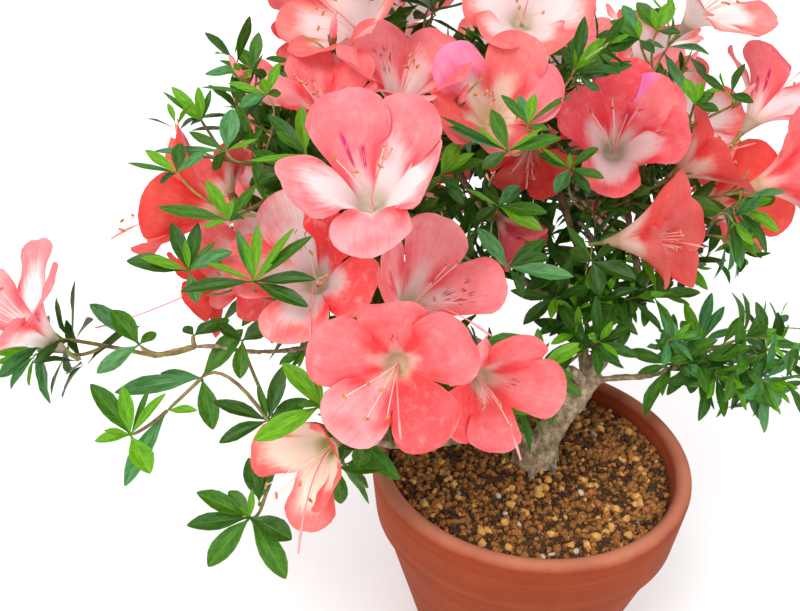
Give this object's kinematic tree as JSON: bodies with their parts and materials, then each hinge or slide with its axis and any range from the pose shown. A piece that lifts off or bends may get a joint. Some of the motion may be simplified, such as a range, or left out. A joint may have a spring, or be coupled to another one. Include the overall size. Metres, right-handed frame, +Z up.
{
  "type": "potted azalea shrub",
  "caption": "Small evergreen azalea in full pink bloom, its crown leaning out over one side of a round terracotta pot filled with coarse soil.",
  "frame": {"origin": "centre of the pot's flat underside", "axes": "+Z up, -Y towards the side that the picture shows, +X to the right as seen from there"},
  "size_m": [0.3753, 0.2835, 0.3481],
  "materials": {
    "terracotta": "matte",
    "soil": "matte",
    "bark": "matte",
    "foliage": "matte"
  },
  "bodies": {
    "root": {"pot": "terracotta", "soil": "soil", "trunk": "bark", "left_bough": "bark", "low_bough": "bark", "front_bough": "bark", "middle_bough": "bark", "right_bough": "bark", "side_branch": "bark", "back_bough": "bark", "far_left_bough": "bark", "left_high_bough": "bark", "front_high_bough": "bark", "high_bough": "bark", "top_bough": "bark", "back_left_bough": "bark", "back_right_bough": "bark", "front_mass": "foliage", "front_high_mass": "foliage", "low_mass": "foliage", "left_mass": "foliage", "far_left_mass": "foliage", "left_high_mass": "foliage", "high_mass": "foliage", "top_mass": "foliage", "middle_mass": "foliage", "right_mass": "foliage", "side_mass": "foliage", "back_left_mass": "foliage", "back_mass": "foliage", "back_right_mass": "foliage"}
  },
  "joints": []
}
